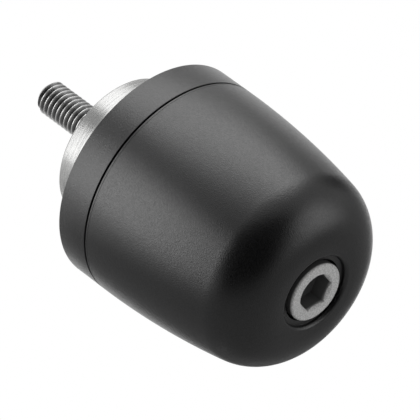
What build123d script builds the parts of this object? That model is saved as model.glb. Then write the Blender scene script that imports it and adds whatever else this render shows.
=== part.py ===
from build123d import *
import os
from math import asin, cos, degrees, radians, sin, tan

# A bar end weight: a turned weight, a collar ring and a spacer sleeve, held together by one cap screw.
# Millimetres. The axis lies along X, from the handlebar at -X to the nose at +X, with +Z up.
# The origin is the centre of the spacer's rear face, which seats on the end of the handlebar.

# Lengths of the stack along the axis, from the seat outwards
spacer_length = 8.5
collar_length = 6.2
groove_width = 0.18
body_length = 33.42

# Diameters of the stack
outer_diameter = 40.0
spacer_diameter = 26.0
spigot_diameter = 20.0

# Form of the weight
barrel_radius = 142.0
nose_land = 1.0
lip_radius = 0.75
recess_diameter = 13.1
recess_depth = 0.95
groove_depth = 1.0

# The M6 cap screw
screw_length = 60.0
thread_diameter = 6.0
shank_diameter = 5.35
head_diameter = 10.6
head_height = 6.0
head_edge_radius = 0.4
under_head_radius = 0.25
tip_chamfer = 0.8
socket_across_flats = 6.0
socket_depth = 3.2
socket_mouth_diameter = 6.96
socket_mouth_slope = 45.0
socket_point_slope = 30.0

# Clearances, on the radius for round fits
screw_clearance = 0.3
head_clearance = 0.35
spigot_clearance = 0.05
spigot_end_gap = 0.2

# Edges broken on the lathe
body_edge = 0.2
collar_edge = 0.06
spacer_rear_edge = 0.4
spacer_front_edge = 0.2
bore_edge = 0.3

# Places along the axis
collar_back = spacer_length
collar_front = collar_back + collar_length
body_back = collar_front + groove_width
nose = body_back + body_length
recess_floor = nose - recess_depth
head_seat = nose - head_height
screw_tip = head_seat - screw_length
spigot_end = collar_back + spigot_end_gap
socket_floor = nose - socket_depth

# Radii that follow from the sizes above
outer_radius = outer_diameter / 2
land_radius = outer_radius - groove_depth
spigot_radius = spigot_diameter / 2
bore_radius = thread_diameter / 2 + screw_clearance
counterbore_radius = head_diameter / 2 + head_clearance
recess_radius = recess_diameter / 2
lip_outer_radius = recess_radius + lip_radius
nose_flat_radius = lip_outer_radius + nose_land
head_radius = head_diameter / 2
shank_radius = shank_diameter / 2
thread_radius = thread_diameter / 2
socket_flat_radius = socket_across_flats / 2
socket_corner_radius = socket_flat_radius / cos(radians(30))
socket_mouth_radius = socket_mouth_diameter / 2

# The end radius is the one arc that leaves the barrel and meets the nose's flat ring without a corner.
barrel_rise = nose_flat_radius - outer_radius + barrel_radius
end_radius = (barrel_radius**2 - body_length**2 - barrel_rise**2) / (2 * (barrel_radius - body_length))
barrel_turn = degrees(asin((body_length - end_radius) / (barrel_radius - end_radius)))

# The barrel's arc starts where the broken edge at its back ends.
edge_turn = asin(body_edge / barrel_radius)
barrel_start = (body_back + body_edge, outer_radius - barrel_radius * (1 - cos(edge_turn)))
barrel_heading = (cos(edge_turn), -sin(edge_turn))

os.makedirs("parts", exist_ok=True)

# Weight: one turned profile, from the spigot over the barrel to the nose, its recess, counterbore and bore
with BuildPart() as weight_body:
    with BuildSketch(Plane.XZ):
        with BuildLine():
            Polyline(
                (spigot_end, bore_radius),
                (spigot_end, spigot_radius),
                (collar_front, spigot_radius),
                (collar_front, land_radius),
                (body_back, land_radius),
                (body_back, outer_radius - body_edge),
                barrel_start,
            )
            barrel = JernArc(barrel_start, barrel_heading, barrel_radius, degrees(edge_turn) - barrel_turn)
            end = JernArc(barrel @ 1, barrel % 1, end_radius, barrel_turn - 90)
            Line(end @ 1, (nose, lip_outer_radius))
            lip = JernArc((nose, lip_outer_radius), (0, -1), lip_radius, -90)
            Polyline(
                lip @ 1,
                (recess_floor, recess_radius),
                (recess_floor, counterbore_radius),
                (head_seat, counterbore_radius),
                (head_seat, bore_radius),
                (spigot_end, bore_radius),
            )
        make_face()
    revolve(axis=Axis.X)
weight_body.part.label = "weight_body"
export_step(weight_body.part, "parts/weight_body.step")

# Collar: a ring on the weight's spigot, clamped between the spacer and the weight's seat land
with BuildPart() as collar_ring:
    with BuildSketch(Plane.YZ.offset(collar_back)):
        Circle(outer_radius)
        Circle(spigot_radius + spigot_clearance, mode=Mode.SUBTRACT)
    extrude(amount=collar_length)
    collar_rims = collar_ring.edges().filter_by(GeomType.CIRCLE).group_by(SortBy.RADIUS)[-1]
    chamfer(collar_rims, collar_edge)
collar_ring.part.label = "collar_ring"
export_step(collar_ring.part, "parts/collar_ring.step")

# Spacer: a plain sleeve with its edges broken, more on the seat side than against the collar
with BuildPart() as spacer_sleeve:
    with BuildSketch(Plane.YZ):
        Circle(spacer_diameter / 2)
        Circle(bore_radius, mode=Mode.SUBTRACT)
    extrude(amount=spacer_length)
    spacer_edges = spacer_sleeve.edges().filter_by(GeomType.CIRCLE)
    bore_rims = spacer_edges.group_by(SortBy.RADIUS)[0]
    outer_rims = spacer_edges.group_by(SortBy.RADIUS)[-1].sort_by(Axis.X)
    chamfer(bore_rims, bore_edge)
    chamfer(outer_rims[0], spacer_rear_edge)
    chamfer(outer_rims[-1], spacer_front_edge)
spacer_sleeve.part.label = "spacer_sleeve"
export_step(spacer_sleeve.part, "parts/spacer_sleeve.step")

# Screw: a turned blank whose thread starts level with the seat, then the socket with its pilot point and mouth
with BuildPart() as cap_screw:
    with BuildSketch(Plane.XZ):
        with BuildLine():
            Polyline(
                (screw_tip, 0),
                (screw_tip, thread_radius - tip_chamfer),
                (screw_tip + tip_chamfer, thread_radius),
                (0, thread_radius),
                (0, shank_radius),
                (head_seat, shank_radius),
                (head_seat, head_radius),
                (nose, head_radius),
                (nose, 0),
                close=True,
            )
        make_face()
    revolve(axis=Axis.X)
    screw_edges = cap_screw.edges().filter_by(GeomType.CIRCLE)
    head_rim = screw_edges.group_by(Axis.X)[-1]
    neck = screw_edges.filter_by_position(Axis.X, head_seat, head_seat).sort_by(SortBy.RADIUS)[0]
    fillet(head_rim, head_edge_radius)
    fillet(neck, under_head_radius)
    with BuildSketch(Plane.YZ.offset(nose)):
        RegularPolygon(socket_corner_radius, 6)
    extrude(amount=-socket_depth, mode=Mode.SUBTRACT)
    with BuildSketch(Plane.XZ):
        point_depth = socket_flat_radius * tan(radians(socket_point_slope))
        Polygon(
            (socket_floor, 0),
            (socket_floor, socket_flat_radius),
            (socket_floor - point_depth, 0),
            align=None,
        )
        mouth_depth = socket_mouth_radius * tan(radians(socket_mouth_slope))
        Polygon(
            (nose, 0),
            (nose, socket_mouth_radius),
            (nose - mouth_depth, 0),
            align=None,
        )
    revolve(axis=Axis.X, mode=Mode.SUBTRACT)
cap_screw.part.label = "cap_screw"
export_step(cap_screw.part, "parts/cap_screw.step")
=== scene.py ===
"""Looks of the bar end weight: turned surfaces, a real thread, metal finishes and a plain white studio.

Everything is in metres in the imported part's frame: the axis lies along X, the seat on the handlebar is at
x = 0, the nose looks along +X and +Z is up.
"""

import logging
import math
from dataclasses import dataclass
from enum import Enum
from typing import Any, Mapping, Protocol, Sequence

import bpy
import numpy as np
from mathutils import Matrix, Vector


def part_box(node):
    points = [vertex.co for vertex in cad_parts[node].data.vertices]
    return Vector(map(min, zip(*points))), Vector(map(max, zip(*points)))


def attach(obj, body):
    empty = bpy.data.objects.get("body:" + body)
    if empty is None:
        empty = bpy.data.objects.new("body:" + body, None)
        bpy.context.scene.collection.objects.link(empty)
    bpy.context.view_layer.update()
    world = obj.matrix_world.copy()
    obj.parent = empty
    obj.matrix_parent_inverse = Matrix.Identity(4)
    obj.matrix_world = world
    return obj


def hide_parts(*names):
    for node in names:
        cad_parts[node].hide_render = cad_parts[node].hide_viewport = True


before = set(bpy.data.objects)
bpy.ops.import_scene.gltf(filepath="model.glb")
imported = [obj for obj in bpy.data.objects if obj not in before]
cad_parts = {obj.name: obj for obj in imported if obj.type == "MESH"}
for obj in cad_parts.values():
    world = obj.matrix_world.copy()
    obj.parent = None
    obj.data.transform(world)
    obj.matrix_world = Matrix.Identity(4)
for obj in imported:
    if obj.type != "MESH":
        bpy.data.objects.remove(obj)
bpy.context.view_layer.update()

LOG = logging.getLogger("bar_end_weight")
MM = 0.001
FULL_TURN = 2 * math.pi
HALF = 0.5
# Points nearer to each other than this are one point.
WELD = 1e-7
# A rounded corner reaches at most this share of the way to the next corner.
EASE_LIMIT = 1 / 3
TURNING_UV = "turning"
PRINCIPLED = "ShaderNodeBsdfPrincipled"
# The Mix node's colour sockets go by number, because their names repeat.
MIX_LOW, MIX_HIGH, MIX_RESULT = 6, 7, 2
WHITE = (1.0, 1.0, 1.0, 1.0)
Array = np.ndarray
Colour = tuple[float, float, float]
Pair = tuple[float, float]


class Slot(Enum):
    """The record's material slots."""

    BLASTED_BLACK = "blasted_black"
    TURNED_BLACK = "turned_black"
    BARE_ALUMINIUM = "bare_aluminium"
    STAINLESS = "stainless"


# Surfaces


@dataclass
class Skin:
    """A mesh as arrays: points, quads and triangles, with a (u, v) pair for each face corner."""

    points: Array
    quads: Array
    tris: Array
    quad_uv: Array
    tri_uv: Array

    @classmethod
    def over(cls, points: Array, uv: Array) -> "Skin":
        """Lays faces over a grid of points. Points that coincide, as at seams and poles, become one.

        A cell with one side of no length becomes a triangle, and a cell with more of them is left out.

        Args:
            points: rows by columns by 3 places in metres.
            uv: rows by columns by 2 pattern coordinates.

        Returns:
            The skin, with its faces turned outwards.
        """
        keys = np.round(points.reshape(-1, 3) / WELD).astype(np.int64)
        _, first, index = np.unique(keys, axis=0, return_index=True, return_inverse=True)
        index = index.reshape(points.shape[:2])
        corners = cls.corners(index)
        corner_uv = cls.corners(uv)
        short = corners == np.roll(corners, -1, axis=1)
        sides = 4 - short.sum(axis=1)
        three = sides == 3
        four = sides == 4
        kept = ~short[three]
        skin = cls(
            points.reshape(-1, 3)[first],
            corners[four],
            corners[three][kept].reshape(-1, 3),
            corner_uv[four],
            corner_uv[three][kept].reshape(-1, 3, 2),
        )
        skin.turn_outwards()
        return skin

    @staticmethod
    def corners(grid: Array) -> Array:
        """The four corner values of each cell of a grid, in order round the cell.

        Args:
            grid: rows by columns of values, each a number or an array.

        Returns:
            Cells by 4 values.
        """
        around = [grid[:-1, :-1], grid[1:, :-1], grid[1:, 1:], grid[:-1, 1:]]
        cells = np.stack(around, axis=2)
        return cells.reshape(-1, 4, *grid.shape[2:])

    def turn_outwards(self) -> None:
        """Reverses every face if the signed volume, a sixth of the sum of a . (b x c), is negative."""
        halves = np.concatenate([self.quads[:, [0, 1, 2]], self.quads[:, [0, 2, 3]], self.tris])
        a, b, c = (self.points[halves[:, k]] for k in range(3))
        if np.einsum("ij,ij->", a, np.cross(b, c)) < 0:
            self.quads, self.quad_uv = self.quads[:, ::-1], self.quad_uv[:, ::-1]
            self.tris, self.tri_uv = self.tris[:, ::-1], self.tri_uv[:, ::-1]

    def to_object(self, name: str, crease_deg: float) -> bpy.types.Object:
        """Makes the Blender object, smooth but for edges that turn more than crease_deg.

        Args:
            name: the object's name.
            crease_deg: the angle between faces above which an edge is sharp.

        Returns:
            The object, linked to the scene at the origin.
        """
        mesh = bpy.data.meshes.new(name)
        mesh.from_pydata(self.points.tolist(), [], self.quads.tolist() + self.tris.tolist())
        layer = mesh.uv_layers.new(name=TURNING_UV)
        flat_uv = np.concatenate([self.quad_uv.reshape(-1, 2), self.tri_uv.reshape(-1, 2)])
        layer.uv.foreach_set("vector", flat_uv.astype(np.float32).ravel())
        mesh.shade_smooth()
        mesh.set_sharp_from_angle(angle=math.radians(crease_deg))
        mesh.validate()
        piece = bpy.data.objects.new(name, mesh)
        bpy.context.scene.collection.objects.link(piece)
        return piece


def arc(centre: Sequence[float], radius: float, start_deg: float, stop_deg: float, count: int) -> Array:
    """Points on a circle of the profile plane.

    Args:
        centre: the circle's centre as (x, r).
        radius: its radius.
        start_deg: the first point's angle, from +X towards +r.
        stop_deg: the last point's angle.
        count: how many points, ends included.

    Returns:
        count by 2 places (x, r).
    """
    angle = np.radians(np.linspace(start_deg, stop_deg, count))
    return np.asarray(centre) + radius * np.stack([np.cos(angle), np.sin(angle)], axis=1)


def part_way(start: Array, stop: Array, reach: float) -> Array:
    """Points on the lines from start to stop: reach on from start, but at most EASE_LIMIT of the way.

    Args:
        start: n by 2 places (x, r).
        stop: n by 2 places (x, r).
        reach: the distance from start.

    Returns:
        n by 2 places (x, r).
    """
    step = stop - start
    length = np.linalg.norm(step, axis=1, keepdims=True)
    return start + step * np.minimum(reach / length, EASE_LIMIT)


def eased(corners: Array, radius: float, count: int = 4) -> Array:
    """Rounds the inner corners of an open line by a small quadratic curve.

    Each corner P becomes (1-s)^2 A + 2 s (1-s) P + s^2 B, where A and B lie on the lines before and after
    it, radius away from P or a third of the way to the next corner if that is nearer.

    Args:
        corners: n by 2 places (x, r); the first and last stay as they are.
        radius: how far each rounding reaches from its corner.
        count: points for each corner.

    Returns:
        The rounded line's points.
    """
    before, at, after = corners[:-2], corners[1:-1], corners[2:]
    s = np.linspace(0, 1, count)[None, :, None]
    start = part_way(at, before, radius)[:, None]
    stop = part_way(at, after, radius)[:, None]
    curve = (1 - s) ** 2 * start + 2 * s * (1 - s) * at[:, None] + s**2 * stop
    return np.concatenate([corners[:1], curve.reshape(-1, 2), corners[-1:]])


def profile_length(profile: Array) -> Array:
    """The distance run along a profile from its first point to each point."""
    steps = np.linalg.norm(np.diff(profile, axis=0), axis=1)
    return np.concatenate([[0.0], np.cumsum(steps)])


def turned(profile: Array, segments: int) -> Skin:
    """Carries a closed profile round the axis: (x, r) at angle a goes to (x, r cos a, r sin a).

    Args:
        profile: n by 2 places (x, r), the last equal to the first.
        segments: faces round the axis.

    Returns:
        The ring's skin; u is the share of a turn and v the distance along the profile in millimetres.
    """
    angle = np.linspace(0, FULL_TURN, segments + 1)
    angle[-1] = 0.0
    x, r = profile[:, :1], profile[:, 1:]
    points = np.stack([x + 0 * angle, r * np.cos(angle), r * np.sin(angle)], axis=2)
    share = np.linspace(0, 1, segments + 1)
    run = profile_length(profile)[:, None] / MM
    uv = np.stack([share + 0 * run, run + 0 * share], axis=2)
    return Skin.over(points, uv)


# Shader maths


class Value:
    """A number on a shader socket, with arithmetic that adds Math nodes."""

    def __init__(self, graph: "Graph", socket: bpy.types.NodeSocket) -> None:
        """Wraps a socket of a graph."""
        self.graph = graph
        self.socket = socket

    def math(self, operation: str, *others: "Value | float", first: bool = True) -> "Value":
        """A Math node on this value and others.

        Args:
            operation: the node's operation, such as "POWER".
            others: the other operands.
            first: whether this value is the first operand.

        Returns:
            The node's result.
        """
        operands = (self, *others) if first else (*others, self)
        inputs = dict(enumerate(operands))
        node = self.graph.node("ShaderNodeMath", {"operation": operation}, inputs)
        return Value(self.graph, node.outputs[0])

    def __add__(self, other: "Value | float") -> "Value":
        """self + other."""
        return self.math("ADD", other)

    __radd__ = __add__

    def __mul__(self, other: "Value | float") -> "Value":
        """self * other."""
        return self.math("MULTIPLY", other)

    __rmul__ = __mul__

    def __sub__(self, other: "Value | float") -> "Value":
        """self - other."""
        return self.math("SUBTRACT", other)

    def __rsub__(self, other: float) -> "Value":
        """other - self."""
        return self.math("SUBTRACT", other, first=False)

    def between(self, low: float, high: float) -> "Value":
        """A smooth step over this value.

        Args:
            low: where the step starts.
            high: where it ends.

        Returns:
            0 at low and below, 1 at high and above, eased in between.
        """
        settings = {"interpolation_type": "SMOOTHSTEP"}
        inputs = {"Value": self, "From Min": low, "From Max": high}
        return Value(self.graph, self.graph.node("ShaderNodeMapRange", settings, inputs).outputs[0])

    def mixed(self, other: "Value", share: float) -> "Value":
        """This value with a share of another in its place."""
        return self * (1 - share) + other * share

    def swing(self, width: float) -> "Value":
        """A value from 0 to 1 as a swing of that width about 0."""
        return (self - HALF) * width


class Graph:
    """A node tree that is filled through one method."""

    def __init__(self, tree: bpy.types.NodeTree) -> None:
        """Empties the tree."""
        self.tree = tree
        tree.nodes.clear()

    def node(
        self,
        kind: str,
        settings: Mapping[str, Any] | None = None,
        inputs: Mapping[Any, Any] | None = None,
    ) -> bpy.types.Node:
        """Adds a node.

        Args:
            kind: the node's type.
            settings: attributes, set before the sockets.
            inputs: socket name or number to a value, a Value or a socket to link.

        Returns:
            The node.
        """
        made = self.tree.nodes.new(kind)
        for name, setting in (settings or {}).items():
            setattr(made, name, setting)
        for name, given in (inputs or {}).items():
            source = given.socket if isinstance(given, Value) else given
            if isinstance(source, bpy.types.NodeSocket):
                self.tree.links.new(source, made.inputs[name])
            else:
                made.inputs[name].default_value = source
        return made

    def place(self) -> bpy.types.NodeSocket:
        """Object coordinates."""
        return self.node("ShaderNodeTexCoord").outputs["Object"]

    def noise(self, scale: float, detail: float) -> Value:
        """Fractal noise on Object coordinates, from 0 to 1, with scale in cells per metre."""
        inputs = {"Vector": self.place(), "Scale": scale, "Detail": detail, "Roughness": HALF}
        return Value(self, self.node("ShaderNodeTexNoise", None, inputs).outputs["Fac"])

    def dimples(self, scale: float) -> tuple[Value, Value]:
        """Round cells on Object coordinates.

        Args:
            scale: cells per metre.

        Returns:
            The distance from a cell's middle, and the cell's own tone from 0 to 1.
        """
        cells = self.node("ShaderNodeTexVoronoi", None, {"Vector": self.place(), "Scale": scale}).outputs
        tone = self.node("ShaderNodeSeparateColor", None, {"Color": cells["Color"]}).outputs["Red"]
        return Value(self, cells["Distance"]), Value(self, tone)

    def axial(self) -> tuple[Value, Value]:
        """Where a point lies by the axis, from Object coordinates: its radius is the root of y^2 + z^2.

        Returns:
            The place along the axis and the distance from it, in millimetres.
        """
        parts = self.node("ShaderNodeSeparateXYZ", None, {"Vector": self.place()}).outputs
        x, y, z = (Value(self, part) for part in parts)
        return x * (1 / MM), (y * y + z * z).math("SQRT") * (1 / MM)

    def feed(self) -> Value:
        """The distance along the turned profile in millimetres, from the piece's own UV map."""
        uv = self.node("ShaderNodeUVMap", {"uv_map": TURNING_UV}).outputs["UV"]
        return Value(self, self.node("ShaderNodeSeparateXYZ", None, {"Vector": uv}).outputs["Y"])

    def streaks(self, along: Value, scale: float) -> Value:
        """Noise that changes only with a distance along the profile: rings round a turned piece."""
        inputs = {"W": along, "Scale": scale, "Detail": 3.0, "Roughness": 0.65}
        return Value(self, self.node("ShaderNodeTexNoise", {"noise_dimensions": "1D"}, inputs).outputs["Fac"])

    def colour_mix(
        self,
        share: Value,
        low: "Colour | bpy.types.NodeSocket",
        high: "Colour | bpy.types.NodeSocket",
    ) -> bpy.types.NodeSocket:
        """A colour between two, each of them three numbers or a socket.

        Args:
            share: how much of high shows.
            low: the colour at a share of 0.
            high: the colour at a share of 1.

        Returns:
            The mixed colour.
        """
        ends = {k: (*c, 1.0) if isinstance(c, tuple) else c for k, c in ((MIX_LOW, low), (MIX_HIGH, high))}
        mix = self.node("ShaderNodeMix", {"data_type": "RGBA"}, {"Factor": share, **ends})
        return mix.outputs[MIX_RESULT]

    def bump(self, height: Value, strength: float, distance: float) -> bpy.types.NodeSocket:
        """A normal from a height, where a height of 1 stands distance metres out."""
        inputs = {"Height": height, "Strength": strength, "Distance": distance}
        return self.node("ShaderNodeBump", None, inputs).outputs["Normal"]

    def surface(self, kind: str, inputs: Mapping[Any, Any]) -> None:
        """Ends a material in one shader node."""
        shader = self.node(kind, None, inputs)
        self.node("ShaderNodeOutputMaterial", None, {"Surface": shader.outputs[0]})


def new_material(name: str) -> tuple[bpy.types.Material, Graph]:
    """An empty node material.

    Args:
        name: the material's name.

    Returns:
        The material and its graph.
    """
    material = bpy.data.materials.new(name)
    material.use_nodes = True
    return material, Graph(material.node_tree)


def matt_material(name: str, grey: float) -> bpy.types.Material:
    """A plain matt grey for the stage.

    Args:
        name: the material's name.
        grey: its level.

    Returns:
        The material.
    """
    material, graph = new_material(name)
    graph.surface(PRINCIPLED, {"Base Color": (grey, grey, grey, 1.0), "Roughness": 1.0})
    return material


# Finishes


class Finish(Protocol):
    """What a piece is dressed in."""

    def make(self) -> bpy.types.Material:
        """Builds the material."""


@dataclass(frozen=True)
class BlastedAnodise:
    """Black anodising over bead-blasted aluminium: near black, satin, with a fine pitted grain."""

    dark: Colour = (0.0010, 0.0010, 0.0012)
    light: Colour = (0.0030, 0.0030, 0.0034)
    roughness: float = 0.315
    roughness_swing: float = 0.08
    ior: float = 1.71
    pits_per_metre: float = 6000.0
    pit_depth: float = 0.019 * MM
    bump_strength: float = 0.9
    mottle: float = 0.17
    drift_per_metre: float = 120.0
    drift_share: float = 0.3

    def make(self) -> bpy.types.Material:
        """Builds the material: dimples drive the bump, and each has its own tone, sheen and roughness.

        Returns:
            The material.
        """
        material, graph = new_material("blasted_black_anodise")
        pits, tone = graph.dimples(self.pits_per_metre)
        drift = graph.noise(self.drift_per_metre, detail=3.0)
        shade = tone.mixed(drift, self.drift_share)
        graph.surface(
            PRINCIPLED,
            {
                "Base Color": graph.colour_mix(shade, self.dark, self.light),
                "Metallic": tone * self.mottle,
                "Roughness": self.roughness + tone.swing(self.roughness_swing),
                "IOR": self.ior,
                "Normal": graph.bump(pits, self.bump_strength, self.pit_depth),
            },
        )
        return material


@dataclass(frozen=True)
class TurnedAnodise:
    """Black anodising over a finely turned ring: near black, satin, grained, with faint rings."""

    dark: Colour = (0.0010, 0.0010, 0.0012)
    light: Colour = (0.0035, 0.0035, 0.0039)
    roughness: float = 0.30
    roughness_swing: float = 0.16
    ior: float = 1.74
    rings_per_mm: float = 9.0
    ring_share: float = 0.1
    grains_per_metre: float = 6000.0
    grain_depth: float = 0.055 * MM
    bump_strength: float = 0.8
    mottle_per_metre: float = 3600.0
    mottle: float = 0.22

    def make(self) -> bpy.types.Material:
        """Builds the material: grain with rings drives bump and colour, grain roughness, mottle sheen.

        Returns:
            The material.
        """
        material, graph = new_material("turned_black_anodise")
        rings = graph.streaks(graph.feed(), self.rings_per_mm)
        grain = graph.noise(self.grains_per_metre, detail=2.0)
        mottle = graph.noise(self.mottle_per_metre, detail=1.0)
        height = grain.mixed(rings, self.ring_share)
        graph.surface(
            PRINCIPLED,
            {
                "Base Color": graph.colour_mix(height, self.dark, self.light),
                "Metallic": mottle * self.mottle,
                "Roughness": self.roughness + grain.swing(self.roughness_swing),
                "IOR": self.ior,
                "Normal": graph.bump(height, self.bump_strength, self.grain_depth),
            },
        )
        return material


@dataclass(frozen=True)
class TurnedAluminium:
    """Bare aluminium off the lathe: bright, with crisp rings left by the tool."""

    dark: Colour = (0.25, 0.25, 0.246)
    light: Colour = (0.53, 0.53, 0.525)
    roughness: float = 0.26
    roughness_swing: float = 0.12
    rings_per_mm: float = 6.0
    ring_depth: float = 0.036 * MM
    bump_strength: float = 0.9
    smears_per_metre: float = 420.0
    smear_share: float = 0.4

    def make(self) -> bpy.types.Material:
        """Builds the material: rings drive bump, colour and roughness, and smears break their colour.

        Returns:
            The material.
        """
        material, graph = new_material("turned_bare_aluminium")
        rings = graph.streaks(graph.feed(), self.rings_per_mm)
        smears = graph.noise(self.smears_per_metre, detail=4.0)
        shade = rings.mixed(smears, self.smear_share)
        graph.surface(
            PRINCIPLED,
            {
                "Base Color": graph.colour_mix(shade, self.dark, self.light),
                "Metallic": 1.0,
                "Roughness": self.roughness + rings.swing(self.roughness_swing),
                "Normal": graph.bump(rings, self.bump_strength, self.ring_depth),
            },
        )
        return material


@dataclass(frozen=True)
class Stainless:
    """Plain stainless steel: a matt forged head, with painted shade in its socket and on its side, and a
    rolled thread.

    The thread is bright on its crests and darkened between them by painted shade. The fields in millimetres
    bound the zones:
    along the axis, below the head's face or off the axis.
    """

    dark: Colour = (0.44, 0.44, 0.435)
    light: Colour = (0.66, 0.66, 0.655)
    # Painted shade: a near-black for the socket's hollow and for the head's side in its gap.
    socket_and_side_shade: Colour = (0.095, 0.095, 0.095)
    crest: Colour = (0.58, 0.58, 0.575)
    # Painted shade between the thread's crests.
    root: Colour = (0.20, 0.20, 0.20)
    head_metallic: float = 0.45
    roughness: float = 0.32
    head_roughness: float = 0.90
    roughness_swing: float = 0.10
    drift_per_metre: float = 500.0
    grains_per_metre: float = 4200.0
    grain_contrast: Pair = (0.35, 0.65)
    grain_depth: float = 0.020 * MM
    bump_strength: float = 0.5
    face_mm: float = 48.3
    head_start_mm: Pair = (1.5, 2.5)
    socket_radius_mm: Pair = (3.7, 3.8)
    # Depths below the face over which the painted shade of the socket and of the side comes in.
    socket_shade_below_mm: Pair = (0.15, 0.9)
    side_shade_below_mm: Pair = (0.18, 0.55)
    rim_radius_mm: Pair = (4.85, 5.05)
    rim_gloss: float = 0.3
    # Radii over which the thread's painted root shade fades out towards the crests.
    root_shade_radius_mm: Pair = (2.72, 2.97)

    def make(self) -> bpy.types.Material:
        """Builds the material: grain drives bump and colour, and the place on the screw sets the zones, with
        painted shade in the socket, on the head's side and in the thread's roots.

        Returns:
            The material.
        """
        material, graph = new_material("stainless_steel")
        grain = graph.noise(self.grains_per_metre, detail=3.0)
        drift = graph.noise(self.drift_per_metre, detail=3.0)
        x, radius = graph.axial()
        below = self.face_mm - x
        head = x.between(*self.head_start_mm)
        inside = (1.0 - radius.between(*self.socket_radius_mm)) * head
        # Painted shade: darkens the socket below its mouth, where shade falls in the hollow.
        socket = below.between(*self.socket_shade_below_mm) * inside
        # Painted shade: darkens the head's side below the face, where it sits in the gap round the head.
        side = below.between(*self.side_shade_below_mm) * (1.0 - inside) * head
        # Painted shade: darkens the thread towards its roots, where shade falls between the crests.
        root_shade = (1.0 - radius.between(*self.root_shade_radius_mm)) * (1.0 - head)
        matt = head * (1.0 - radius.between(*self.rim_radius_mm) * self.rim_gloss)
        forged = graph.colour_mix(grain.between(*self.grain_contrast), self.dark, self.light)
        # The crest colour, with painted shade in the roots.
        rolled = graph.colour_mix(root_shade, self.crest, self.root)
        plain = graph.colour_mix(head, rolled, forged)
        roughness = self.roughness + matt * (self.head_roughness - self.roughness)
        graph.surface(
            PRINCIPLED,
            {
                # The near-black colour here is painted shade over the socket and the head's side.
                "Base Color": graph.colour_mix(socket + side, plain, self.socket_and_side_shade),
                "Metallic": 1.0 - matt * (1.0 - self.head_metallic),
                "Roughness": roughness + drift.swing(self.roughness_swing),
                "Normal": graph.bump(grain, self.bump_strength, self.grain_depth),
            },
        )
        return material


# Pieces


@dataclass
class Piece:
    """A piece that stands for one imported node, with its finish."""

    node: str
    slot: Slot
    finish: Finish
    segments: int = 256
    crease_deg: float = 40.0
    edge_ease: float = 0.06 * MM

    def skin(self) -> Skin:
        """The piece's surface; each piece has its own."""
        raise NotImplementedError

    def build(self) -> bpy.types.Object:
        """Builds, dresses and seats the piece.

        Returns:
            The finished object.
        """
        piece = self.skin().to_object(f"{self.node}_finish", self.crease_deg)
        piece.data.materials.append(self.finish.make())
        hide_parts(self.node)
        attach(piece, "root")
        return piece


@dataclass
class WeightBody(Piece):
    """The barrel: spigot and seat land behind, arched side, end radius, flat nose ring, recess and bores."""

    node: str = "weight_body"
    slot: Slot = Slot.BLASTED_BLACK
    finish: Finish = BlastedAnodise()
    groove_width: float = 0.18 * MM
    groove_depth: float = 1.0 * MM
    spigot_radius: float = 10.0 * MM
    bore_radius: float = 3.3 * MM
    counterbore_radius: float = 5.65 * MM
    recess_radius: float = 6.55 * MM
    recess_depth: float = 0.95 * MM
    head_height: float = 6.0 * MM
    lip_radius: float = 0.75 * MM
    nose_land: float = 1.0 * MM
    barrel_radius: float = 142.0 * MM
    rim_chamfer: float = 0.2 * MM
    line_place: float = 0.55 * MM
    line_width: float = 0.08 * MM
    line_depth: float = 0.035 * MM
    band_points: int = 8
    barrel_points: int = 96
    end_points: int = 40
    lip_points: int = 12

    def side(self, back: float, nose: float, outer: float) -> Array:
        """The side, from its rear chamfer to the nose: a narrow band, a fine V line, barrel arc and end arc.

        The barrel arc, of radius R, is level at the back. The end arc touches it and the nose's flat ring.
        With L the side's length and h the ring's outer radius less outer plus R, the end arc's radius is
        (R^2 - L^2 - h^2) / (2 (R - L)).

        Args:
            back: where the side starts on the axis.
            nose: where it ends on the axis.
            outer: the barrel arc's highest radius.

        Returns:
            n by 2 places (x, r).
        """
        big = self.barrel_radius
        centre = (back, outer - big)
        flat = self.recess_radius + self.lip_radius + self.nose_land
        length = nose - back
        rise = flat - outer + big
        end_radius = (big**2 - length**2 - rise**2) / (2 * (big - length))
        turn = math.degrees(math.asin((length - end_radius) / (big - end_radius)))
        half = self.line_width / 2
        # The line's two edges and a close row after it, in half widths from its middle
        along = self.line_place + half * np.array([-1, 1, 3])
        line_start, line_stop, barrel_start = 90 - np.degrees(np.arcsin(along / big))
        first = 90 - math.degrees(math.asin(self.rim_chamfer / big))
        band = arc(centre, big, first, line_start, self.band_points)
        line = np.array([(back + self.line_place, band[-1, 1] - self.line_depth)])
        shoulder = arc(centre, big, line_stop, barrel_start, 2)[:-1]
        barrel = arc(centre, big, barrel_start, 90 - turn, self.barrel_points)
        end = arc((nose - end_radius, flat), end_radius, 90 - turn, 0, self.end_points)[1:]
        return np.concatenate([band, line, shoulder, barrel, end])

    def skin(self) -> Skin:
        """The profile is a chain of turned forms: rear steps, side, lip arc, recess and bores.

        Returns:
            The turned skin.
        """
        spigot_end, nose = (corner.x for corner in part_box(self.node))
        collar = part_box("collar_ring")[1]
        back = collar.x + self.groove_width
        land = collar.z - self.groove_depth
        head_seat = nose - self.head_height
        recess_floor = nose - self.recess_depth
        side = self.side(back, nose, collar.z)
        lip_centre = (nose - self.lip_radius, self.recess_radius + self.lip_radius)
        lip = arc(lip_centre, self.lip_radius, 0, -90, self.lip_points)
        middle_bore = ((spigot_end + head_seat) / 2, self.bore_radius)
        rear = np.array(
            [
                middle_bore,
                (spigot_end, self.bore_radius),
                (spigot_end, self.spigot_radius),
                (collar.x, self.spigot_radius),
                (collar.x, land),
                (back, land),
                (back, collar.z - self.rim_chamfer),
                side[0],
                side[1],
            ]
        )
        inner = np.array(
            [
                lip[-1],
                (recess_floor, self.recess_radius),
                (recess_floor, self.counterbore_radius),
                (head_seat, self.counterbore_radius),
                (head_seat, self.bore_radius),
                middle_bore,
            ]
        )
        rear, inner = eased(rear, self.edge_ease), eased(inner, self.edge_ease)
        return turned(np.concatenate([rear[:-1], side[1:], lip, inner[1:]]), self.segments)


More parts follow.
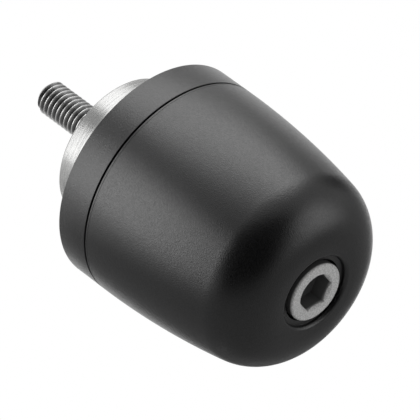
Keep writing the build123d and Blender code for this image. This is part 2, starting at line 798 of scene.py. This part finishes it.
@dataclass
class CollarRing(Piece):
    """The ring on the weight's spigot, with broken outer edges."""

    node: str = "collar_ring"
    slot: Slot = Slot.TURNED_BLACK
    finish: Finish = TurnedAnodise()
    bore_radius: float = 10.05 * MM
    edge: float = 0.06 * MM

    def skin(self) -> Skin:
        """The profile is a rectangle with its two outer corners cut and every edge eased.

        Returns:
            The turned skin.
        """
        low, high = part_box(self.node)
        outer, middle = high.z, (low.x + high.x) / 2
        corners = np.array(
            [
                (middle, self.bore_radius),
                (low.x, self.bore_radius),
                (low.x, outer - self.edge),
                (low.x + self.edge, outer),
                (high.x - self.edge, outer),
                (high.x, outer - self.edge),
                (high.x, self.bore_radius),
                (middle, self.bore_radius),
            ]
        )
        return turned(eased(corners, self.edge_ease), self.segments)


@dataclass
class SpacerSleeve(Piece):
    """The bare sleeve that seats on the handlebar, with chamfered rims and bore."""

    node: str = "spacer_sleeve"
    slot: Slot = Slot.BARE_ALUMINIUM
    finish: Finish = TurnedAluminium()
    bore_radius: float = 3.3 * MM
    rear_edge: float = 0.4 * MM
    front_edge: float = 0.2 * MM
    bore_edge: float = 0.3 * MM

    def skin(self) -> Skin:
        """The profile is a rectangle with all four corners cut and every edge eased.

        Returns:
            The turned skin.
        """
        low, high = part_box(self.node)
        outer, middle = high.y, (low.x + high.x) / 2
        mouth = self.bore_radius + self.bore_edge
        corners = np.array(
            [
                (middle, self.bore_radius),
                (low.x + self.bore_edge, self.bore_radius),
                (low.x, mouth),
                (low.x, outer - self.rear_edge),
                (low.x + self.rear_edge, outer),
                (high.x - self.front_edge, outer),
                (high.x, outer - self.front_edge),
                (high.x, mouth),
                (high.x - self.bore_edge, self.bore_radius),
                (middle, self.bore_radius),
            ]
        )
        return turned(eased(corners, self.edge_ease), self.segments)


@dataclass
class CapScrew(Piece):
    """The M6 cap screw: hex socket with a conical mouth, rounded head, plain shank and rolled thread."""

    node: str = "cap_screw"
    slot: Slot = Slot.STAINLESS
    finish: Finish = Stainless()
    segments: int = 96
    head_height: float = 6.0 * MM
    head_edge: float = 0.4 * MM
    head_edge_points: int = 10
    shank_radius: float = 2.675 * MM
    under_head: float = 0.25 * MM
    under_head_points: int = 5
    socket_sides: int = 6
    socket_flats: float = 6.0 * MM
    socket_depth: float = 3.2 * MM
    mouth_radius: float = 3.48 * MM
    point_slope: float = math.tan(math.radians(30.0))
    thread_radius: float = 2.98 * MM
    pitch: float = 1.0 * MM
    runout: float = 1.2 * MM
    tip_chamfer: float = 0.8 * MM
    thread_depth: float = 0.6134 * MM
    crest_share: float = 1 / 8
    corner_share: float = 0.02
    flank_heights: Pair = (-0.06, -0.92)
    root_heights: Pair = (-0.97, -1.0)
    root_points: int = 5

    def socket(self, angle: Array, nose: float) -> Array:
        """The socket from its pilot point to its mouth, as rows of points.

        At angle a the wall stands at h(a) = f / cos(a'), where f is half the width across flats and a' the
        angle from the nearest flat's middle. The mouth is a 45 degree cone, so it meets the wall at depth
        mouth radius - h(a).

        Args:
            angle: the columns' angles.
            nose: the head face's place on the axis.

        Returns:
            5 rows by columns by 2 places (x, r).
        """
        flat = self.socket_flats / 2
        side = FULL_TURN / self.socket_sides
        from_flat = np.mod(angle, side) - side / 2
        wall = flat / np.cos(from_flat)
        floor = nose - self.socket_depth
        even = np.ones_like(angle)
        rows = [
            ((floor - flat * self.point_slope) * even, 0 * even),
            (floor * even, flat * even),
            (floor * even, wall),
            (nose - (self.mouth_radius - wall), wall),
            (nose * even, self.mouth_radius * even),
        ]
        return np.stack([np.stack(row, axis=1) for row in rows])

    def head(self, nose: float, radius: float, shank_end: float) -> Array:
        """The head's rounded edge, side and underside, then the fillet and the shank, as one open profile.

        Args:
            nose: the head face's place on the axis.
            radius: the head's radius.
            shank_end: where the shank ends on the axis.

        Returns:
            n by 2 places (x, r).
        """
        seat = nose - self.head_height
        edge_centre = (nose - self.head_edge, radius - self.head_edge)
        edge = arc(edge_centre, self.head_edge, 0, 90, self.head_edge_points)
        neck_centre = (seat - self.under_head, self.shank_radius + self.under_head)
        neck = arc(neck_centre, self.under_head, 0, -90, self.under_head_points)
        under = eased(np.array([edge[-1], (seat, radius), neck[0]]), self.edge_ease)
        return np.concatenate([edge, under[1:-1], neck, [(shank_end, self.shank_radius)]])

    def thread_profile(self) -> Array:
        """One pitch of the thread: crest, 60 degree flank, rounded root, flank.

        Heights are shares of the thread's depth, 0 at the crest. The crest is crest_share of the pitch wide,
        each corner is eased over corner_share to either side, and the root is a sine dip between the flanks.

        Returns:
            n by 2 values (share of a pitch, radius).
        """
        half_crest = self.crest_share / 2
        flank = self.thread_depth / self.pitch / math.sqrt(3)
        ease = self.corner_share
        foot = half_crest + flank + ease
        crest = np.array([-half_crest + ease, half_crest - ease])
        down = np.array([half_crest + ease, half_crest + flank - ease])
        root = np.linspace(foot, 1 - foot, self.root_points)
        shallow, deep = self.root_heights
        dip = shallow + (deep - shallow) * np.sin(np.pi * (root - foot) / (1 - 2 * foot))
        fall = np.array(self.flank_heights)
        shares = np.concatenate([crest, down, root, 1 - down[::-1]])
        heights = np.concatenate([0 * crest, fall, dip, fall[::-1]])
        return np.stack([shares, self.thread_radius + self.thread_depth * heights], axis=1)

    def thread(self, angle: Array, start: float, tip: float) -> Array:
        """The thread as rows that wind down the axis.

        Row k at angle a lies at x = start - pitch (k's share + a / full turn), so a row's end meets the row
        one pitch on. Its radius is the profile's, faded in from the shank over the run-out and cut by the
        tip's 45 degree cone. Rows beyond either end are held at that end, where they coincide.

        Args:
            angle: the columns' angles.
            start: where the run-out begins.
            tip: the screw's end.

        Returns:
            Rows by columns by 2 places (x, r).
        """
        pitch_profile = self.thread_profile()
        turns = math.ceil((start - tip) / self.pitch) + 1
        share = (pitch_profile[None, :, 0] + np.arange(-1, turns)[:, None]).reshape(-1)
        radius = np.tile(pitch_profile[:, 1], turns + 1)
        wind = np.linspace(0, 1, len(angle))
        x = start - self.pitch * (share[:, None] + wind)
        held = np.clip(x, tip, start)
        fade = np.clip((start - held) / self.runout, 0, 1)
        r = self.shank_radius + (radius[:, None] - self.shank_radius) * fade
        tip_radius = self.thread_radius - self.tip_chamfer
        return np.stack([held, np.minimum(r, tip_radius + (held - tip))], axis=2)

    def skin(self) -> Skin:
        """All rows from the socket's point to the tip's centre, carried round the axis and welded.

        Row points (x, r) at angle a go to (x, r cos a, r sin a). The run-out ends level with the seat.

        Returns:
            The screw's skin; u is the share of a turn and v the distance along the rows in millimetres.
        """
        low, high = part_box(self.node)
        nose, tip, radius = high.x, low.x, high.z
        thread_start = self.runout
        angle = np.linspace(0, FULL_TURN, self.segments + 1)
        socket = self.socket(angle, nose)
        head = self.head(nose, radius, thread_start)
        plain = np.broadcast_to(head[:, None, :], (len(head), len(angle), 2))
        thread = self.thread(angle, thread_start, tip)
        end = np.broadcast_to(np.array([tip, 0.0]), (1, len(angle), 2))
        section = np.concatenate([socket, plain, thread, end])
        around = np.mod(angle, FULL_TURN)
        around[-1] = 0.0
        x, r = section[..., 0], section[..., 1]
        points = np.stack([x, r * np.cos(around), r * np.sin(around)], axis=2)
        run = np.linalg.norm(np.diff(section, axis=0, prepend=section[:1]), axis=2).cumsum(axis=0) / MM
        share = np.broadcast_to(angle / FULL_TURN, run.shape)
        return Skin.over(points, np.stack([share, run], axis=2))


# Studio


def direction(azimuth_deg: float, elevation_deg: float) -> Vector:
    """The unit vector from the part towards a place round it; azimuth 0 is -Y and 90 is +X."""
    a, e = math.radians(azimuth_deg), math.radians(elevation_deg)
    return Vector((math.sin(a) * math.cos(e), -math.cos(a) * math.cos(e), math.sin(e)))


@dataclass(frozen=True)
class PhotoCamera:
    """The camera, far off with a long lens, at the photograph's angle."""

    azimuth_deg: float = 48.17
    elevation_deg: float = 41.24
    distance: float = 0.817
    aim: tuple[float, float, float] = (20.13 * MM, 2.46 * MM, -2.23 * MM)
    focal_px: float = 5000.0
    frame_px: float = 420.0
    sensor_mm: float = 36.0
    nearest: float = 0.01
    farthest: float = 20.0

    def build(self) -> bpy.types.Object:
        """Makes the camera and hands it to the scene.

        Returns:
            The camera.
        """
        data = bpy.data.cameras.new("photo_camera")
        data.sensor_width = self.sensor_mm
        data.lens = self.focal_px / self.frame_px * self.sensor_mm
        data.clip_start, data.clip_end = self.nearest, self.farthest
        camera = bpy.data.objects.new("photo_camera", data)
        back = direction(self.azimuth_deg, self.elevation_deg)
        camera.location = Vector(self.aim) + back * self.distance
        camera.rotation_euler = (-back).to_track_quat("-Z", "Y").to_euler()
        bpy.context.scene.collection.objects.link(camera)
        bpy.context.scene.camera = camera
        return camera


@dataclass(frozen=True)
class Softbox:
    """A rectangular lamp that faces the part from a place round it."""

    name: str
    azimuth_deg: float
    elevation_deg: float
    width: float
    height: float
    radiance: float
    distance: float = 0.6
    centre: tuple[float, float, float] = (25 * MM, 0.0, 0.0)

    def build(self) -> bpy.types.Object:
        """Makes the lamp; its power is pi times its area times its radiance.

        Returns:
            The lamp.
        """
        data = bpy.data.lights.new(self.name, "AREA")
        data.shape = "RECTANGLE"
        data.size, data.size_y = self.width, self.height
        data.energy = math.pi * self.width * self.height * self.radiance
        lamp = bpy.data.objects.new(self.name, data)
        out = direction(self.azimuth_deg, self.elevation_deg)
        lamp.location = Vector(self.centre) + out * self.distance
        lamp.rotation_euler = out.to_track_quat("Z", "Y").to_euler()
        lamp.visible_camera = False
        bpy.context.scene.collection.objects.link(lamp)
        return lamp


def stage_sheet(name: str, grid: Array, material: bpy.types.Material) -> bpy.types.Object:
    """A stage object over a grid of points.

    Args:
        name: the object's name.
        grid: rows by columns by 3 places.
        material: its material.

    Returns:
        The object, marked as stage.
    """
    mesh = bpy.data.meshes.new(name)
    index = np.arange(grid.shape[0] * grid.shape[1]).reshape(grid.shape[:2])
    mesh.from_pydata(grid.reshape(-1, 3).tolist(), [], Skin.corners(index).tolist())
    mesh.materials.append(material)
    sheet = bpy.data.objects.new(name, mesh)
    bpy.context.scene.collection.objects.link(sheet)
    return sheet


def only_in_reflections(thing: bpy.types.Object) -> None:
    """Hides a stage object from everything but glossy rays.

    Args:
        thing: the object.
    """
    thing.visible_camera = False
    thing.visible_diffuse = False
    thing.visible_shadow = False


@dataclass(frozen=True)
class Card:
    """A dark flat panel that faces the part, seen only in reflections."""

    name: str
    azimuth_deg: float
    elevation_deg: float
    width: float
    height: float
    grey: float
    distance: float = 0.7
    centre: tuple[float, float, float] = (25 * MM, 0.0, 0.0)

    def build(self) -> bpy.types.Object:
        """Makes the panel: its corners are its middle plus and minus half its width and half its height.

        Returns:
            The panel.
        """
        out = direction(self.azimuth_deg, self.elevation_deg)
        middle = Vector(self.centre) + out * self.distance
        side = out.cross(Vector((0, 0, 1))).normalized()
        up = side.cross(out)
        s, t = np.meshgrid([-HALF, HALF], [-HALF, HALF], indexing="ij")
        across, along = np.array(side) * self.width, np.array(up) * self.height
        grid = np.array(middle) + s[..., None] * across + t[..., None] * along
        card = stage_sheet(self.name, grid, matt_material(self.name, self.grey))
        only_in_reflections(card)
        return card


@dataclass(frozen=True)
class Floor:
    """A wide pale floor under the part, which the camera and reflections see as plain white."""

    height: float = -45 * MM
    half_width: float = 3.0
    dark: Colour = (0.8428, 0.8428, 0.8428)
    light: Colour = (0.86, 0.86, 0.86)
    patches_per_metre: float = 9.0
    roughness: float = 0.9

    def build(self) -> bpy.types.Object:
        """Makes the floor: a matt sheet that Light Path swaps for white of strength 1.

        Returns:
            The floor.
        """
        material, graph = new_material("pale_floor")
        tone = graph.noise(self.patches_per_metre, detail=2.0)
        path = graph.node("ShaderNodeLightPath").outputs
        seen = Value(graph, path["Is Camera Ray"]) + Value(graph, path["Is Glossy Ray"])
        seen = (seen + Value(graph, path["Is Transmission Ray"])).math("MINIMUM", 1.0)
        matt = {"Base Color": graph.colour_mix(tone, self.dark, self.light), "Roughness": self.roughness}
        matt_shader = graph.node(PRINCIPLED, None, matt)
        white = graph.node("ShaderNodeEmission", None, {"Color": WHITE, "Strength": 1.0})
        graph.surface("ShaderNodeMixShader", {0: seen, 1: matt_shader.outputs[0], 2: white.outputs[0]})
        ends = [-self.half_width, self.half_width]
        x, y = np.meshgrid(ends, ends, indexing="ij")
        return stage_sheet("floor", np.stack([x, y, 0 * x + self.height], axis=2), material)


@dataclass(frozen=True)
class Mat:
    """A grey sheet on the floor, seen only in reflections: painted shade that makes the floor round the part
    darker in reflections than the white the camera sees, and leaves the floor behind the part white.

    inner and outer hold (azimuth in degrees, radius) pairs; the radius runs evenly from one to the next.
    """

    height: float = -44 * MM
    grey: float = 0.29
    centre: tuple[float, float] = (40 * MM, -25 * MM)
    columns: int = 386
    inner: tuple[Pair, ...] = ((-180, 0.002), (177, 0.002), (180, 0.055), (187, 0.12), (205, 0.22))
    outer: tuple[Pair, ...] = (
        (-180, 0.060),
        (-165, 0.040),
        (-152, 0.031),
        (-135, 0.028),
        (-113, 0.032),
        (-103, 0.041),
        (-96, 0.062),
        (-63, 0.095),
        (-48, 0.140),
        (-34, 0.140),
        (-26, 0.150),
        (-15, 0.3),
        (0, 0.8),
        (15, 1.2),
        (100, 1.2),
        (140, 0.5),
        (160, 1.3),
        (205, 1.3),
    )

    def build(self) -> bpy.types.Object:
        """Makes the mat: the point at distance d and azimuth a is the centre plus d (sin a, -cos a).

        Returns:
            The mat.
        """
        angle = np.linspace(self.outer[0][0], self.outer[-1][0], self.columns)
        out = np.stack([np.interp(angle, *np.array(edge).T) for edge in (self.inner, self.outer)], axis=1)
        turn = np.radians(angle)[:, None]
        x = self.centre[0] + out * np.sin(turn)
        y = self.centre[1] - out * np.cos(turn)
        grid = np.stack([x, y, 0 * x + self.height], axis=2)
        # Painted shade: the floor round the part as the metal reflects it.
        mat = stage_sheet("reflected_floor_shade", grid, matt_material("reflected_floor_shade", self.grey))
        only_in_reflections(mat)
        return mat


@dataclass(frozen=True)
class Surroundings:
    """An even soft grey all round."""

    strength: float = 0.55

    def build(self) -> None:
        """Fills the world's nodes."""
        world = bpy.data.worlds.new("studio")
        bpy.context.scene.world = world
        world.use_nodes = True
        graph = Graph(world.node_tree)
        even = {"Color": WHITE, "Strength": self.strength}
        background = graph.node("ShaderNodeBackground", None, even)
        graph.node("ShaderNodeOutputWorld", None, {"Surface": background.outputs[0]})


def build_studio() -> None:
    """Sets the view transform and makes the camera, lamps, cards, floor, mat and surroundings."""
    bpy.context.scene.view_settings.view_transform = "Standard"
    stage = (
        PhotoCamera(),
        Softbox("softbox_back", azimuth_deg=-126, elevation_deg=52, width=0.64, height=0.46, radiance=2.2),
        Softbox("softbox_left", azimuth_deg=-34, elevation_deg=17, width=0.37, height=0.50, radiance=2.45),
        Softbox("softbox_right", azimuth_deg=130, elevation_deg=17, width=0.35, height=0.40, radiance=1.0),
        Softbox("rear_panel", azimuth_deg=-147, elevation_deg=19, width=0.12, height=0.12, radiance=0.75),
        Card("dark_card", azimuth_deg=49, elevation_deg=36, width=1.6, height=1.2, grey=0.01),
        Card("rear_card", azimuth_deg=-171, elevation_deg=6, width=0.13, height=0.2, grey=0.02, distance=0.4),
        Floor(),
        Mat(),
        Surroundings(),
    )
    for thing in stage:
        thing.build()
    LOG.info("studio ready")


def main() -> None:
    """Builds the studio, then each piece in order from the seat to the nose."""
    logging.basicConfig(level=logging.INFO, format="%(name)s: %(message)s")
    build_studio()
    for piece in (SpacerSleeve(), CollarRing(), WeightBody(), CapScrew()):
        built = piece.build()
        LOG.info("%s: %d faces", built.name, len(built.data.polygons))


if __name__ == "__main__":
    main()
